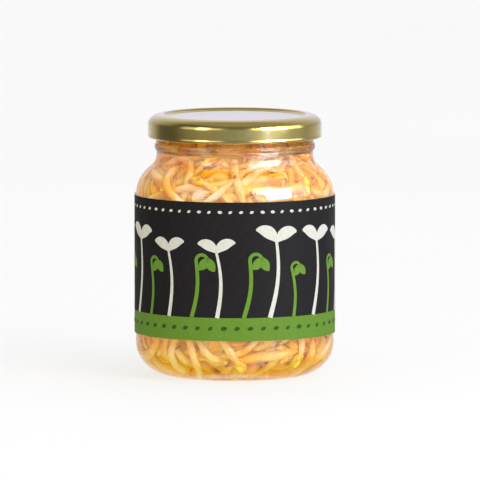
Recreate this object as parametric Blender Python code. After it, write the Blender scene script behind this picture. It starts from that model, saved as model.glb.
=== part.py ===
"""A jar of bean sprouts in brine: a turned glass jar with a twist-off lid, a wrapped paper label, and a
tangle of sprouts standing in its liquid. Metres, +Z up, the origin under the middle of the base, and the
label's front facing -Y."""

import math
import random

import bmesh
import bpy
import numpy as np
from mathutils import Vector

MM = 0.001

# The glass
BODY_RADIUS = 39.15 * MM
WALL = 2.2 * MM
HEEL_WIDTH = 14.6 * MM
HEEL_HEIGHT = 13.4 * MM
FOOT_WIDTH = 2.4 * MM
PUSH_UP = 2.2 * MM
BASE_THICKNESS = 4.4 * MM
FLOOR_RISE = 1.3 * MM
SHOULDER_START = 71.5 * MM
SHOULDER_RADIUS = 14.0 * MM
SHOULDER_SLOPE = math.radians(50)
NECK_RADIUS = 30.95 * MM
NECK_FILLET = 6.0 * MM
COLLAR_RADIUS = 31.75 * MM
COLLAR_BOTTOM = 89.9 * MM
COLLAR_HEIGHT = 2.2 * MM
COLLAR_SLOPE = 0.9 * MM
COLLAR_BEVEL = 0.5 * MM
FINISH_RADIUS = 31.2 * MM
RIM_TOP = 101.4 * MM
RIM_ROUNDING = 1.0 * MM
RIM_BEVEL = 0.5 * MM

# The four ramps on the glass and the four lugs on the lid
STARTS = 4
RAMP_RADIUS = 32.9 * MM
RAMP_HEIGHT = 1.5 * MM
RAMP_LOW_END = 96.35 * MM
RAMP_RISE = 1.6 * MM
RAMP_BACK = math.radians(14)
RAMP_SPAN = math.radians(64)
RAMP_STEPS = 7
LUG_INNER = 31.65 * MM
LUG_BOTTOM = 94.6 * MM
LUG_TOP = 95.9 * MM
LUG_SPAN = math.radians(20)
LUG_STEPS = 4
FIRST_LUG = math.radians(-90 + 42)
SUNK = 0.5 * MM
END_REACH = 0.45

# The lid
TOTAL_HEIGHT = 103.5 * MM
LID_RADIUS = 34.4 * MM
SHEET = 0.5 * MM
LID_SHOULDER_WIDTH = 5.0 * MM
LID_SHOULDER_HEIGHT = 4.0 * MM
CREST_WIDTH = 1.0 * MM
PANEL_WALL = 0.7 * MM
PANEL_DROP = 0.9 * MM
SKIRT_WAIST = 34.35 * MM
WAIST_HEIGHT = 2.1 * MM
CURL_RADIUS = 0.8 * MM
CURL_PROUD = 0.05 * MM
CURL_ARC = (55, -235)
LID_BOTTOM = 94.25 * MM

# The ring of sealing compound in the lid's channel
SEAL_INNER = 28.9 * MM
SEAL_OUTER = 31.5 * MM
SEAL_HEIGHT = 0.7 * MM
SEAL_BEVEL = 0.2 * MM
SEAL_SLOPE = 0.9 * MM

# The label, a strip whose end laps over its start
LABEL_BOTTOM = 17.2 * MM
LABEL_TOP = 71.9 * MM
PAPER = 0.22 * MM
LAP = math.radians(11)
LAP_RAMP = math.radians(4)
LAP_GAP = 0.05 * MM
SEAM_AT = math.radians(90 - 35)
LABEL_STEPS = 52

# Gaps and fill levels
GAP = 0.3 * MM
FILM = 0.6 * MM
BRINE_LEVEL = 96.0 * MM
TANGLE_NECK_TOP = 90.5 * MM
TANGLE_TOP = 98.0 * MM

# The sprouts
SPROUTS = 46
SPROUT_SEED = 11
SPROUT_LENGTH = (36 * MM, 54 * MM)
STEM_RADIUS = (1.45 * MM, 1.8 * MM)
BEAN_LENGTH = 8.5 * MM
BEAN_RADIUS = 2.3 * MM
BEAN_RINGS = (0, 0.2, 0.6, 1)
BEAN_BLUNT_END = 0.92
BEAN_PLUMPNESS = 0.55
TAIL_LENGTH = 9.0 * MM
TAIL_RADIUS = 0.5 * MM
BEND_RADIUS = (15 * MM, 70 * MM)
WAVE_SHARE = (0.15, 0.5)
LEAST_WAVE = 6.0
WAVE_TURN = 0.16
STEP = 1.0 * MM
BOW = 0.5 * MM
CORE_DEPTH = 2.2 * MM
SHALLOWEST = 1.85 * MM
DEEPEST = 2.8 * MM
SMOOTHING_PASSES = 40
TUBE_SIDES = 5

# The tangle's surface that they are laid on, with more of them where the label doesn't hide it
CLEAR_BAND_WEIGHT = 3.0
BEHIND_LABEL = (LABEL_BOTTOM + 3 * MM, LABEL_TOP - 5 * MM)
SURFACE_SPACING = 0.4 * MM
GOLDEN_ANGLE = math.pi * (3 - math.sqrt(5))

# How many points the arcs of an outline have: the jar's heel, shoulder and neck, and the tangle's dome
OUTSIDE_POINTS = (7, 5, 4)
INSIDE_POINTS = (5, 4, 3)
HOLE_POINTS = (6, 4, 3)
SURFACE_POINTS = (24, 14, 10)
CORE_DOME_POINTS = 5
HOLE_DOME_POINTS = 9
SURFACE_DOME_POINTS = 20

ROUND_STEPS = 48
BRINE_STEPS = 36
CORE_STEPS = 28
SHARP_ANGLE = math.radians(35)


def clear_scene():
    for old in list(bpy.data.objects):
        bpy.data.objects.remove(old)


def material(name, colour, roughness, metallic=0.0, alpha=1.0):
    """A Principled BSDF with one colour."""
    made = bpy.data.materials.new(name)
    made.use_nodes = True
    shader = made.node_tree.nodes["Principled BSDF"]
    shader.inputs["Base Color"].default_value = (*colour, 1.0)
    shader.inputs["Roughness"].default_value = roughness
    shader.inputs["Metallic"].default_value = metallic
    shader.inputs["Alpha"].default_value = alpha
    return made


def object_from(bm, name, finish):
    """The bmesh as a smooth shaded object with sharp edges kept."""
    bmesh.ops.recalc_face_normals(bm, faces=bm.faces)
    mesh = bpy.data.meshes.new(name)
    bm.to_mesh(mesh)
    bm.free()
    mesh.shade_smooth()
    mesh.set_sharp_from_angle(angle=SHARP_ANGLE)
    mesh.materials.append(finish)
    made = bpy.data.objects.new(name, mesh)
    bpy.context.scene.collection.objects.link(made)
    return made


def arc(centre, radii, start, end, count):
    """Points (radius, height) along an arc. radii may differ across and up, and the angles are in degrees."""
    across, up = radii if isinstance(radii, tuple) else (radii, radii)
    points = []
    for step in range(count):
        angle = math.radians(start + (end - start) * step / (count - 1))
        points.append((centre[0] + across * math.cos(angle), centre[1] + up * math.sin(angle)))
    return points


def turned(name, outline, steps, finish):
    """Spins an outline of (radius, height) points about Z. One that starts on the axis stays open there."""
    on_axis = outline[0][0] == 0 and outline[-1][0] == 0
    bm = bmesh.new()
    corners = [bm.verts.new((radius, 0, height)) for radius, height in outline]
    edges = [bm.edges.new(pair) for pair in zip(corners, corners[1:])]
    if not on_axis:
        edges.append(bm.edges.new((corners[-1], corners[0])))
    bmesh.ops.spin(
        bm, geom=corners + edges, cent=(0, 0, 0), axis=(0, 0, 1), angle=math.tau, steps=steps, use_merge=True
    )
    bmesh.ops.remove_doubles(bm, verts=bm.verts, dist=1e-6)
    return object_from(bm, name, finish)


def skinned(name, loops, finish):
    """A closed body skinned over loops of points, which all have the same number of corners."""
    bm = bmesh.new()
    rings = [[bm.verts.new(point) for point in loop] for loop in loops]
    for near, far in zip(rings, rings[1:]):
        for corner in range(len(near)):
            after = (corner + 1) % len(near)
            bm.faces.new((near[corner], near[after], far[after], far[corner]))
    bm.faces.new(rings[0][::-1])
    bm.faces.new(rings[-1])
    return object_from(bm, name, finish)


def around(angle, radius, height):
    """The point at this angle round the jar's axis."""
    return Vector((math.cos(angle) * radius, math.sin(angle) * radius, height))


def side(inset, floor, counts):
    """The jar's side from the foot up to the neck, moved inwards by inset. floor is where the heel starts."""
    heel_points, shoulder_points, neck_points = counts
    slope = math.degrees(SHOULDER_SLOPE)
    heel = arc(
        (BODY_RADIUS - HEEL_WIDTH, HEEL_HEIGHT),
        (HEEL_WIDTH - inset, HEEL_HEIGHT - floor),
        -90, 0, heel_points,
    )
    upper = SHOULDER_RADIUS - inset
    shoulder = arc((BODY_RADIUS - SHOULDER_RADIUS, SHOULDER_START), upper, 0, slope, shoulder_points)
    level = 1 - math.cos(SHOULDER_SLOPE)
    fall = BODY_RADIUS - NECK_RADIUS - (SHOULDER_RADIUS + NECK_FILLET) * level
    height = SHOULDER_START + (SHOULDER_RADIUS + NECK_FILLET) * math.sin(SHOULDER_SLOPE)
    height += fall / math.tan(SHOULDER_SLOPE)
    neck = arc((NECK_RADIUS + NECK_FILLET, height), NECK_FILLET + inset, 180 + slope, 180, neck_points)
    return heel + shoulder + neck


def joined(base, pieces, solver="EXACT"):
    """base with all the pieces fused into it by one Boolean union, applied."""
    extra = bpy.data.collections.new("joined_to_" + base.name)
    bpy.context.scene.collection.children.link(extra)
    for piece in pieces:
        bpy.context.scene.collection.objects.unlink(piece)
        extra.objects.link(piece)
    union = base.modifiers.new("union", "BOOLEAN")
    union.operation = "UNION"
    union.operand_type = "COLLECTION"
    union.collection = extra
    union.solver = solver
    graph = bpy.context.evaluated_depsgraph_get()
    fused = bpy.data.meshes.new_from_object(base.evaluated_get(graph))
    base.modifiers.clear()
    base.data = fused
    for piece in pieces:
        bpy.data.objects.remove(piece)
    bpy.data.collections.remove(extra)
    fill_hollows(fused)
    return base


def fill_hollows(mesh):
    """Removes every shell but the outermost, so that no sealed hollow is left where pieces cross."""
    bm = bmesh.new()
    bm.from_mesh(mesh)
    waiting = set(bm.faces)
    shells = []
    while waiting:
        shell = [waiting.pop()]
        for face in shell:
            for edge in face.edges:
                if len(edge.link_faces) == 2:
                    beyond = [other for other in edge.link_faces if other in waiting]
                    waiting.difference_update(beyond)
                    shell.extend(beyond)
        shells.append(shell)
    shells.sort(key=len)
    inner = [face for shell in shells[:-1] for face in shell]
    bmesh.ops.delete(bm, geom=inner, context="FACES")
    bm.to_mesh(mesh)
    bm.free()
    print(f"{mesh.name}: {len(shells) - 1} inner shells filled, {len(mesh.polygons)} faces left")


def ring_block(name, root, reach, start, span, heights, steps, finish, rise=0.0):
    """A block from root to reach that follows the jar round and climbs by rise. It thins out at its ends."""
    bottom, top = heights
    loops = []
    for step in range(steps + 1):
        share = step / steps
        tip = root + (reach - root) * (END_REACH if step in (0, steps) else 1.0)
        section = ((root, bottom), (tip, bottom), (tip, top), (root, top))
        angle, lift = start + span * share, rise * share
        loops.append([around(angle, radius, height + lift) for radius, height in section])
    return skinned(name, loops, finish)


def glass_jar(finish):
    """The jar: foot ring and push-up, heel, straight side, shoulder, neck, collar and an open finish."""
    foot_inner = BODY_RADIUS - HEEL_WIDTH - FOOT_WIDTH
    under = [(0, PUSH_UP)] + arc((0, 0), (foot_inner, PUSH_UP), 90, 0, 4)[1:]
    collar_top = COLLAR_BOTTOM + COLLAR_HEIGHT
    collar = [
        (NECK_RADIUS, COLLAR_BOTTOM - COLLAR_SLOPE),
        (COLLAR_RADIUS, COLLAR_BOTTOM),
        (COLLAR_RADIUS, collar_top - COLLAR_BEVEL),
        (FINISH_RADIUS, collar_top),
    ]
    bore = NECK_RADIUS - WALL
    rim = arc((FINISH_RADIUS - RIM_ROUNDING, RIM_TOP - RIM_ROUNDING), RIM_ROUNDING, 0, 90, 3)
    rim += [(bore + RIM_BEVEL, RIM_TOP), (bore, RIM_TOP - RIM_BEVEL)]
    inside = side(WALL, BASE_THICKNESS, INSIDE_POINTS)[::-1] + [(0, BASE_THICKNESS + FLOOR_RISE)]
    jar = turned("glass_jar", under + side(0, 0, OUTSIDE_POINTS) + collar + rim + inside, ROUND_STEPS, finish)
    heights = (RAMP_LOW_END, RAMP_LOW_END + RAMP_HEIGHT)
    ramps = []
    for start in range(STARTS):
        angle = FIRST_LUG + start * math.tau / STARTS - RAMP_BACK
        ramps.append(ring_block(
            f"ramp_{start}", FINISH_RADIUS - SUNK, RAMP_RADIUS, angle, RAMP_SPAN, heights, RAMP_STEPS, finish,
            RAMP_RISE,
        ))
    return joined(jar, ramps)


def lid(finish):
    """The twist-off lid: sunk panel, stacking ring, skirt, bottom curl and four lugs bent inwards."""
    crest = TOTAL_HEIGHT
    panel = crest - PANEL_DROP
    shoulder = (LID_RADIUS - LID_SHOULDER_WIDTH, crest - LID_SHOULDER_HEIGHT)
    crest_inner = shoulder[0] - CREST_WIDTH
    panel_radius = crest_inner - PANEL_WALL
    curl_centre = (LID_RADIUS + CURL_PROUD - CURL_RADIUS, LID_BOTTOM + CURL_RADIUS)
    waist = LID_BOTTOM + WAIST_HEIGHT
    top = [(0, panel), (panel_radius, panel), (crest_inner, crest)]
    outer = arc(shoulder, (LID_SHOULDER_WIDTH, LID_SHOULDER_HEIGHT), 90, 0, 6) + [(SKIRT_WAIST, waist)]
    curl = arc(curl_centre, CURL_RADIUS, *CURL_ARC, 7)
    inside = arc(shoulder, (LID_SHOULDER_WIDTH - SHEET, LID_SHOULDER_HEIGHT - SHEET), 0, 90, 4)
    inner = [(SKIRT_WAIST - SHEET, waist)] + inside
    under = [
        (crest_inner + SHEET / 2, crest - SHEET),
        (panel_radius + SHEET / 2, panel - SHEET),
        (0, panel - SHEET),
    ]
    shell = turned("lid", top + outer + curl + inner + under, ROUND_STEPS, finish)
    heights = (LUG_BOTTOM, LUG_TOP)
    lugs = []
    for start in range(STARTS):
        angle = FIRST_LUG + start * math.tau / STARTS - LUG_SPAN / 2
        lugs.append(ring_block(
            f"lug_{start}", curl_centre[0], LUG_INNER, angle, LUG_SPAN, heights, LUG_STEPS, finish,
        ))
    return joined(shell, lugs)


def sealing_ring(finish):
    """The soft ring of sealing compound in the lid's channel, over the glass rim."""
    bottom = RIM_TOP + GAP
    top = bottom + SEAL_HEIGHT
    outline = [
        (SEAL_INNER, bottom),
        (SEAL_OUTER, bottom),
        (SEAL_OUTER, top - SEAL_BEVEL),
        (SEAL_OUTER - SEAL_SLOPE, top),
        (SEAL_INNER + SEAL_BEVEL, top),
    ]
    return turned("sealing_ring", outline, ROUND_STEPS, finish)


def label(finish):
    """A paper strip once round the jar. Its last few degrees climb over the start and lap it."""
    climb_start = math.tau - LAP_RAMP
    angles = [(math.tau + LAP) * step / LABEL_STEPS for step in range(LABEL_STEPS + 1)]
    loops = []
    for angle in sorted([*angles, climb_start]):
        climbed = min(max((angle - climb_start) / LAP_RAMP, 0), 1)
        inner = BODY_RADIUS + GAP + climbed * (PAPER + LAP_GAP)
        outer = inner + PAPER
        section = ((inner, LABEL_BOTTOM), (outer, LABEL_BOTTOM), (outer, LABEL_TOP), (inner, LABEL_TOP))
        loops.append([around(SEAM_AT + angle, radius, height) for radius, height in section])
    return skinned("label", loops, finish)


def tangle_outline(inset, counts, dome_points):
    """The tangle's outside, from under its middle up and over its domed top, moved inwards by inset."""
    room = WALL + GAP + FILM + GAP + inset
    floor = BASE_THICKNESS + GAP + FILM + GAP + inset
    dome_size = (NECK_RADIUS - room, TANGLE_TOP - inset - TANGLE_NECK_TOP)
    dome = arc((0, TANGLE_NECK_TOP), dome_size, 0, 90, dome_points)
    dome[-1] = (0, TANGLE_TOP - inset)
    return [(0, floor + FLOOR_RISE)] + side(room, floor, counts) + dome


def brine(finish):
    """The liquid fills the gap between the glass and the tangle, which stands in a plain hole in it."""
    room, floor = WALL + GAP, BASE_THICKNESS + GAP
    outer = [(0, floor + FLOOR_RISE)] + side(room, floor, INSIDE_POINTS)
    outer += [(NECK_RADIUS - room, BRINE_LEVEL)]
    tangle = tangle_outline(-GAP, HOLE_POINTS, HOLE_DOME_POINTS)
    hole = [point for point in tangle if point[1] < BRINE_LEVEL]
    dome_height = TANGLE_TOP + GAP - TANGLE_NECK_TOP
    share = (BRINE_LEVEL - TANGLE_NECK_TOP) / dome_height
    mouth = ((NECK_RADIUS - room - FILM) * math.sqrt(1 - share * share), BRINE_LEVEL)
    return turned("brine", outer + [mouth] + hole[::-1], BRINE_STEPS, finish)


class Surface:
    """The tangle's outside as a turned surface that a sprout can be laid along."""

    def __init__(self):
        corners = np.array(tangle_outline(0, SURFACE_POINTS, SURFACE_DOME_POINTS))
        spans = np.linalg.norm(np.diff(corners, axis=0), axis=1)
        run = np.concatenate([[0], np.cumsum(spans)])
        fine = np.arange(0, run[-1], SURFACE_SPACING)
        self.points = np.column_stack([np.interp(fine, run, corners[:, axis]) for axis in (0, 1)])
        along = np.gradient(self.points, axis=0)
        along /= np.linalg.norm(along, axis=1)[:, None]
        self.outward = np.column_stack([along[:, 1], -along[:, 0]])
        heights = self.points[:, 1]
        hidden = (heights > BEHIND_LABEL[0]) & (heights < BEHIND_LABEL[1])
        self.area = np.cumsum(self.points[:, 0] * np.where(hidden, 1.0, CLEAR_BAND_WEIGHT))
        self.area /= self.area[-1]

    def at_share(self, share, turn):
        """The point below which this share of the weighted surface lies, turned round the axis."""
        radius, height = self.points[np.searchsorted(self.area, share)]
        return np.array([radius * math.cos(turn), radius * math.sin(turn), height])

    def settle(self, place):
        """The nearest point of the surface, and its outward normal there."""
        radius = max(math.hypot(place[0], place[1]), 1e-9)
        flat = np.array([radius, place[2]])
        nearest = int(np.argmin(((self.points - flat) ** 2).sum(axis=1)))
        normal = self.outward[nearest]
        flat = flat - normal * np.dot(flat - self.points[nearest], normal)
        across = np.array([place[0] / radius, place[1] / radius])
        point = np.array([across[0] * flat[0], across[1] * flat[0], flat[1]])
        return point, np.array([across[0] * normal[0], across[1] * normal[0], normal[1]])


def walk(surface, start, heading, bends, count):
    """A path of count steps along the surface from start, and the normals under it."""
    place, normal = surface.settle(start)
    places, normals = [place], [normal]
    for step in range(count):
        heading = heading - normal * np.dot(heading, normal)
        heading = heading / np.linalg.norm(heading)
        turn = bends(step) * STEP
        heading = heading * math.cos(turn) + np.cross(normal, heading) * math.sin(turn)
        place, normal = surface.settle(place + heading * STEP)
        places.append(place)
        normals.append(normal)
    return places, normals


def sprout_path(surface, rank, total, draw):
    """One sprout's path on the surface: points, normals and the stem's radius. The bean is at its start."""
    length = draw.uniform(*SPROUT_LENGTH)
    middle = surface.at_share((rank + 0.5) / total, rank * GOLDEN_ANGLE)
    angle = draw.uniform(0, math.tau)
    bend = draw.choice((-1, 1)) / draw.uniform(*BEND_RADIUS)
    wave = draw.uniform(*WAVE_SHARE) * abs(bend) + LEAST_WAVE
    phase = draw.uniform(0, math.tau)
    _, normal = surface.settle(middle)
    across = np.array([-middle[1], middle[0], 0.0])
    across = across / np.linalg.norm(across)
    heading = across * math.cos(angle) + np.cross(normal, across) * math.sin(angle)
    count = int(length / 2 / STEP)

    def bends(step):
        return bend + wave * math.sin(phase + step * WAVE_TURN)

    def bends_back(step):
        return -(bend + wave * math.sin(phase - step * WAVE_TURN))

    ahead, ahead_normals = walk(surface, middle, heading, bends, count)
    behind, behind_normals = walk(surface, middle, -heading, bends_back, count)
    points = np.array(behind[:0:-1] + ahead)
    normals = np.array(behind_normals[:0:-1] + ahead_normals)
    return points, normals, draw.uniform(*STEM_RADIUS)


def thickness(run, length, stem):
    """A sprout's radius at a distance along it: a plump bean, a thin neck, the stem, and a fine tail."""
    if run < BEAN_LENGTH:
        share = min(run / BEAN_LENGTH, BEAN_BLUNT_END)
        return TAIL_RADIUS + (BEAN_RADIUS - TAIL_RADIUS) * math.sin(math.pi * share) ** BEAN_PLUMPNESS
    if run > length - TAIL_LENGTH:
        share = (length - run) / TAIL_LENGTH
        return TAIL_RADIUS + (stem - TAIL_RADIUS) * share
    return stem


def lay_sprouts(total):
    """Every sprout's centre line and radii. Each dips under those laid before it where they cross."""
    surface = Surface()
    draw = random.Random(SPROUT_SEED)
    laid = np.empty((0, 5))
    sprouts = []
    for rank in draw.sample(range(total), total):
        points, normals, stem = sprout_path(surface, rank, total, draw)
        length = (len(points) - 1) * STEP
        radii = np.array([thickness(step * STEP, length, stem) for step in range(len(points))])
        gaps = np.linalg.norm(points[:, None, :] - laid[None, :, :3], axis=2)
        reach = radii[:, None] + laid[None, :, 4]
        under = np.where(gaps < reach, laid[:, 3] + np.sqrt(np.maximum(reach**2 - gaps**2, 0)), 0)
        depth = np.clip(under.max(axis=1, initial=0), np.maximum(radii, SHALLOWEST), DEEPEST)
        for _ in range(SMOOTHING_PASSES):
            between = (np.roll(depth, 1) + np.roll(depth, -1)) / 2
            between[[0, -1]] = depth[[0, -1]]
            depth = np.maximum(depth, between)
        laid = np.vstack([laid, np.column_stack([points, depth, radii])])
        sprouts.append((points - normals * depth[:, None], normals, radii))
    return sprouts


def stops_between(line, first, last):
    """The steps between first and last at which the line needs a ring to stay within BOW of its course."""
    chord = line[last] - line[first]
    chord = chord / np.linalg.norm(chord)
    offsets = line[first : last + 1] - line[first]
    away = np.linalg.norm(offsets - np.outer(offsets @ chord, chord), axis=1)
    worst = first + int(np.argmax(away))
    if away.max() <= BOW:
        return []
    return [*stops_between(line, first, worst), worst, *stops_between(line, worst, last)]


def sprout(name, line, normals, radii, finish):
    """One sprout as a closed tube with few sides. Its rings are close on the bean and wherever it bends."""
    end = len(line) - 1
    stops = [round(BEAN_LENGTH * share / STEP) for share in BEAN_RINGS]
    tail = end - round(TAIL_LENGTH / STEP)
    stops += [*stops_between(line, stops[-1], tail), tail, *stops_between(line, tail, end), end]
    loops = []
    for step in stops:
        before, after = line[max(step - 1, 0)], line[min(step + 1, end)]
        along = Vector(after - before).normalized()
        outward = Vector(normals[step])
        sideways = along.cross(outward).normalized()
        outward = sideways.cross(along)
        middle, radius = Vector(line[step]), float(radii[step])
        turns = [math.tau * corner / TUBE_SIDES for corner in range(TUBE_SIDES)]
        spokes = [outward * math.cos(turn) + sideways * math.sin(turn) for turn in turns]
        loops.append([middle + spoke * radius for spoke in spokes])
    return skinned(name, loops, finish)


def sprout_tangle(finish):
    """The packed sprouts: a slightly smaller core, and the outer sprouts half sunk in it."""
    core_outline = tangle_outline(CORE_DEPTH, INSIDE_POINTS, CORE_DOME_POINTS)
    core = turned("sprout_tangle", core_outline, CORE_STEPS, finish)
    pieces = []
    for number, (line, normals, radii) in enumerate(lay_sprouts(SPROUTS)):
        pieces.append(sprout(f"sprout_{number}", line, normals, radii, finish))
    return joined(core, pieces, "MANIFOLD")


def main():
    clear_scene()
    glass_jar(material("clear_glass", (0.86, 0.90, 0.88), 0.05, alpha=0.3))
    lid(material("gold_lacquer", (0.56, 0.47, 0.22), 0.28, metallic=1.0))
    sealing_ring(material("sealing_compound", (0.88, 0.86, 0.80), 0.6))
    label(material("printed_paper", (0.035, 0.032, 0.035), 0.45))
    brine(material("brine", (0.93, 0.72, 0.30), 0.08, alpha=0.4))
    sprout_tangle(material("sprout_flesh", (0.93, 0.74, 0.47), 0.5))


main()
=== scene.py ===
# %% [markdown]
# # Dressing a jar of bean sprouts
# A filled food jar is a turned glass vessel, a pressed tinplate lid, a printed paper label, a golden
# brine and the sprouts packed into it. Its solids are measured and fixed. Loading them first means that
# every size and place below can be taken from them.

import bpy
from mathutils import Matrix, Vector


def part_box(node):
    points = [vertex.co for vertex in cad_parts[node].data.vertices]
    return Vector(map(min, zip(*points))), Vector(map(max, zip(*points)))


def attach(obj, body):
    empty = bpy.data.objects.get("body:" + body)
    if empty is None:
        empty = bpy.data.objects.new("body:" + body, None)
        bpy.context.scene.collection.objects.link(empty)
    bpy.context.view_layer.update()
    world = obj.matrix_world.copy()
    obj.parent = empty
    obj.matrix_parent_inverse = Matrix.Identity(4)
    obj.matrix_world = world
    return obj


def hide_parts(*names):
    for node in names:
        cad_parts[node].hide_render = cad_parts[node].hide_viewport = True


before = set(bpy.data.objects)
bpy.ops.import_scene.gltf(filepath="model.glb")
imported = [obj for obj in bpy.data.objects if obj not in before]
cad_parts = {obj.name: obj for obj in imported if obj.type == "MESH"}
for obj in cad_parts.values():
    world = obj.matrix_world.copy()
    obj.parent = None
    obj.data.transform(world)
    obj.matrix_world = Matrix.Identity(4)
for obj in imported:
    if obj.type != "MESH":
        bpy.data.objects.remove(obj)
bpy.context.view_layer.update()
print("solids:", ", ".join(sorted(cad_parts)))

# %% Modules and the unit
import math
import random

import bmesh
import bpy
import numpy as np
from mathutils import Vector

MM = 0.001


def linked(name, mesh):
    """An object of this mesh, camera or lamp, in the scene."""
    made = bpy.data.objects.new(name, mesh)
    bpy.context.scene.collection.objects.link(made)
    return made


print("Blender", bpy.app.version_string)

# %% [markdown]
# ## The camera
# The picture was taken from a little above the jar with a long lens, which is why its upright sides
# stay upright. A lens that long is set here by how many millimetres of the jar one pixel covers. The
# camera aims at the middle of the picture, so the jar falls in its place with no shift.

# %% The camera
PICTURE_PIXELS = 480
PIXEL = 0.3954 * MM
AXIS_COLUMN = 234.8
BASE_ROW = 374.3
CAMERA_HEIGHT = math.radians(5.5)
CAMERA_DISTANCE = 5.0

middle = PICTURE_PIXELS / 2
aim = Vector(((middle - AXIS_COLUMN) * PIXEL, 0, (BASE_ROW - middle) * PIXEL / math.cos(CAMERA_HEIGHT)))
camera = linked("camera", bpy.data.cameras.new("camera"))
camera.location = aim + CAMERA_DISTANCE * Vector((0, -math.cos(CAMERA_HEIGHT), math.sin(CAMERA_HEIGHT)))
camera.rotation_euler = (math.pi / 2 - CAMERA_HEIGHT, 0, 0)
camera.data.lens = camera.data.sensor_width * CAMERA_DISTANCE / (PICTURE_PIXELS * PIXEL)
camera.data.clip_end = 60
bpy.context.scene.camera = camera
print(f"lens {camera.data.lens:.0f} mm, aimed {aim.z / MM:.1f} mm above the floor")

# %% [markdown]
# ## A short way to write nodes
# The studio, the finishes and the repeating shapes are all made with nodes. One helper adds a node and
# fills its sockets, either with a value or with a link from another node's output. It keeps the trees
# below short enough to read.

# %% Helpers for nodes
def add(tree, kind, feeds=None, **settings):
    """Adds a node. feeds gives each socket a value, or the output that it is linked from."""
    made = tree.nodes.new(kind)
    for name, value in settings.items():
        setattr(made, name, value)
    for name, value in (feeds or {}).items():
        if isinstance(value, bpy.types.NodeSocket):
            tree.links.new(value, made.inputs[name])
        else:
            made.inputs[name].default_value = value
    return made


def maths(tree, operation, *values):
    """A Math node's output."""
    return add(tree, "ShaderNodeMath", dict(enumerate(values)), operation=operation).outputs[0]


def ramp(tree, factor, stops):
    """A Color Ramp's output. stops are (place, colour), and a bare number is a grey."""
    made = add(tree, "ShaderNodeValToRGB", {0: factor})
    points = made.color_ramp.elements
    points.remove(points[1])
    for number, (place, colour) in enumerate(stops):
        point = points[0] if number == 0 else points.new(place)
        point.position = place
        point.color = (*colour, 1) if isinstance(colour, tuple) else (colour, colour, colour, 1)
    return made.outputs[0]


def mixed(tree, factor, first, second, blend="MIX"):
    """A Mix Color node's output."""
    made = add(tree, "ShaderNodeMix", data_type="RGBA", blend_type=blend)
    for socket, value in ((made.inputs[0], factor), (made.inputs[6], first), (made.inputs[7], second)):
        if isinstance(value, bpy.types.NodeSocket):
            tree.links.new(value, socket)
        else:
            socket.default_value = (*value, 1) if isinstance(value, tuple) else value
    return made.outputs[2]


print("helpers:", ", ".join(helper.__name__ for helper in (add, maths, ramp, mixed)))

# %% [markdown]
# ## The studio
# The jar stands on a white sweep, between softboxes. Shiny lacquer and glass show their surroundings,
# so these are described by direction: white behind and low down, a dark card on the left, a dim room in
# front and above. One ramp of colours goes round just above the horizon, one just below it and one
# round the ceiling, and they blend with height. Matt surfaces get a softer light, warmer from the left
# and cooler from the right, and light that comes through glass has a ramp of its own. The camera sees
# an even white behind the jar.

# %% The world around the jar
ROUND_THE_HORIZON = (
    (0.0, (0.80, 0.79, 0.94)), (0.09, 0.55), (0.13, 0.42), (0.17, 0.13), (0.25, 0.10), (0.31, 0.22),
    (0.41, 0.31), (0.50, (0.33, 0.36, 0.42)), (0.58, (0.42, 0.47, 0.60)),
    (0.70, (0.48, 0.54, 0.68)), (0.80, 0.32), (0.88, 0.45), (1.0, (0.80, 0.79, 0.94)),
)
BELOW_THE_HORIZON = (
    (0.0, (0.95, 0.92, 0.90)), (0.09, 0.60), (0.13, 0.42), (0.17, 0.13), (0.25, 0.10), (0.31, 0.22),
    (0.41, 0.31), (0.50, (0.33, 0.36, 0.42)), (0.57, (0.45, 0.51, 0.66)),
    (0.60, (0.60, 0.66, 0.95)), (0.625, (0.95, 1.08, 2.1)), (0.65, (0.60, 0.68, 0.95)),
    (0.70, (0.49, 0.56, 0.72)), (0.80, 0.34), (0.90, 0.60), (1.0, (0.95, 0.92, 0.90)),
)
ROUND_THE_CEILING = (
    (0.0, (0.84, 0.83, 1.0)), (0.12, 0.52), (0.25, 0.08), (0.50, 0.14), (0.75, 0.26), (0.88, 0.55),
    (1.0, (0.84, 0.83, 1.0)),
)
ZENITH = (0.34, 0.33, 0.32)
SOFT_LIGHT = (
    (0.0, 1.3), (0.15, 0.90), (0.25, (0.54, 0.49, 0.36)), (0.38, (1.00, 0.94, 0.78)),
    (0.53, (1.75, 1.73, 1.70)), (0.62, (1.75, 1.83, 2.15)), (0.74, (1.05, 1.14, 1.45)), (1.0, 1.3),
)
THROUGH_GLASS = (
    (0.0, (0.95, 0.94, 0.92)), (0.20, (0.92, 0.89, 0.86)), (0.30, (1.08, 1.00, 0.84)),
    (0.50, (1.65, 1.62, 1.55)), (0.64, (2.30, 2.65, 3.50)), (0.78, (1.60, 1.95, 2.70)),
    (0.90, (0.95, 0.94, 0.92)), (1.0, (0.95, 0.94, 0.92)),
)
BACKDROP = (0.96, 0.96, 0.96)
CEILING_BLEND = ((0.22, 0.0), (0.36, 1.0))
ZENITH_BLEND = ((0.75, 0.0), (0.92, 1.0))

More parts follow.
